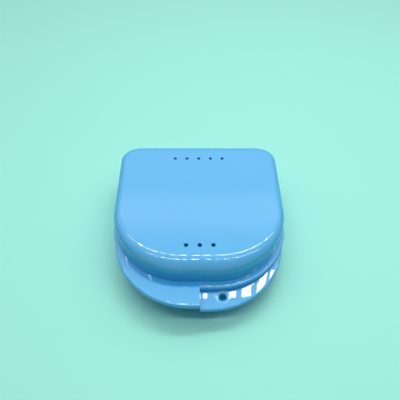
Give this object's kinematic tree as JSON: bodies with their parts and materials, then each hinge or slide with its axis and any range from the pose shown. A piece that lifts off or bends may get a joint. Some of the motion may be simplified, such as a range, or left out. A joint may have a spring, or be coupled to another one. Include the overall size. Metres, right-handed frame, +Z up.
{
  "type": "denture case",
  "caption": "Clamshell denture case: two domed, vented half shells with a flange and half lips, joined by a snap hinge, with a cord hole.",
  "frame": {"origin": "middle of the whole case's outline seen from above, lips and hinge included, on the plane it rests on", "axes": "+Z up, the lips and the cord hole towards -Y, the hinge towards +Y, +X to the right of someone facing the lips"},
  "size_m": [0.0752, 0.085, 0.0253],
  "materials": {
    "lid_plastic": "gloss",
    "base_plastic": "gloss"
  },
  "bodies": {
    "base": {"base": "base_plastic"},
    "lid": {"lid": "lid_plastic"}
  },
  "joints": [
    {"name": "lid_hinge", "type": "hinge", "parent": "base", "child": "lid", "pos_m": [0, 0.0404, 0.01265], "axis": [-1, 0, 0], "range_deg": [0, 180]}
  ]
}
